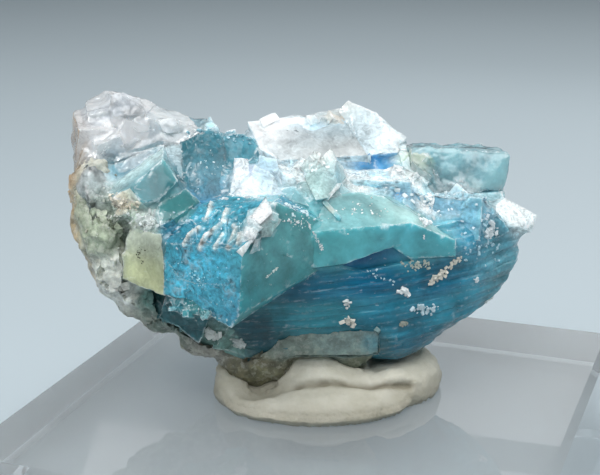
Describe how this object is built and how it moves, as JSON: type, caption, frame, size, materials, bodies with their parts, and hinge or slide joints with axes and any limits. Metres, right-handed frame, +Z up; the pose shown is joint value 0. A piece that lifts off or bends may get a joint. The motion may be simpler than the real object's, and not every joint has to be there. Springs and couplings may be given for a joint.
{
  "type": "mineral specimen",
  "caption": "Cluster of grown-together blue and colourless brucite crystals on olive matrix, bedded in a pad of putty on a clear square block for display.",
  "frame": {"origin": "centre of the clear block's underside", "axes": "+Z up, +X and +Y along the clear block's sides; the specimen's long direction is turned 20 degrees from +X towards +Y, and its front faces -Y"},
  "size_m": [0.0508, 0.0508, 0.0412],
  "materials": {
    "brucite": "glassy to pearly crystal faces, frosted white on the upper edges",
    "matrix": "dull, rough",
    "putty": "matte, finely grained",
    "clear_block": "clear, polished"
  },
  "bodies": {
    "root": {"brucite_crystals": "brucite", "matrix_rock": "matrix", "mounting_putty": "putty", "display_block": "clear_block"}
  },
  "joints": []
}
